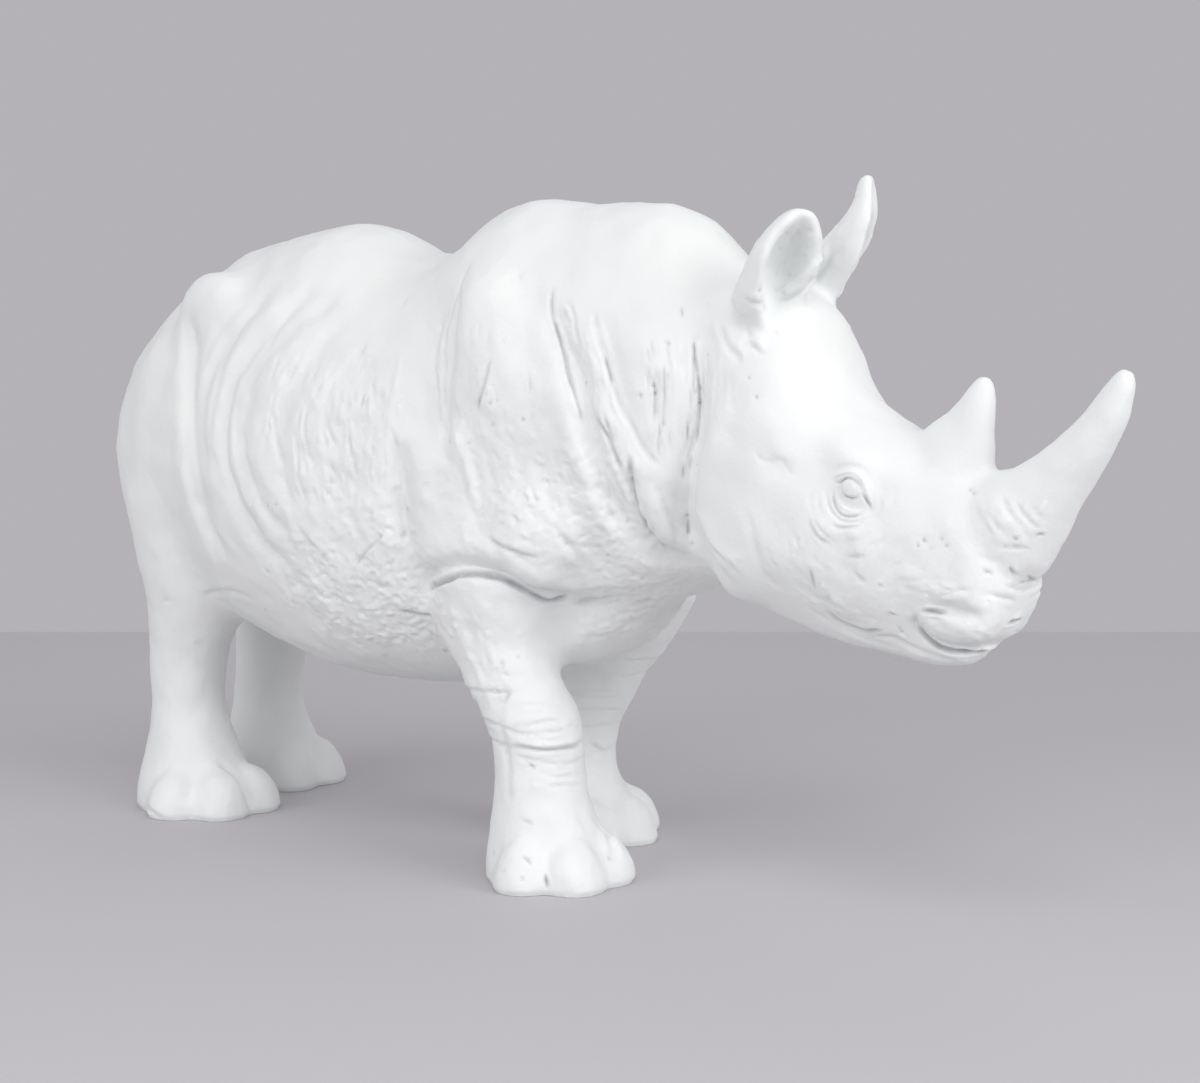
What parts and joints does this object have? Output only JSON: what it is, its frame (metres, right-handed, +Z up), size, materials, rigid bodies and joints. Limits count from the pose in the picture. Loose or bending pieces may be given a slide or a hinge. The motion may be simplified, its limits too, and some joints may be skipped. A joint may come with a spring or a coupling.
{
  "type": "rhinoceros figurine",
  "caption": "Standing white rhinoceros figurine cast in one piece, with horns, cupped ears and folded hide, resting on its flat-soled feet as a shelf or table ornament.",
  "frame": {"origin": "on the surface that the figurine stands on, below the middle of its bounding box", "axes": "+X ahead, from the rump to the front horn; +Y to the animal's left; +Z up"},
  "size_m": [0.452, 0.1228, 0.25],
  "materials": {
    "matt_white_paint": "matt white paint over cast resin, hand-modelled texture with small casting pits"
  },
  "bodies": {
    "root": {"rhinoceros": "matt_white_paint"}
  },
  "joints": []
}
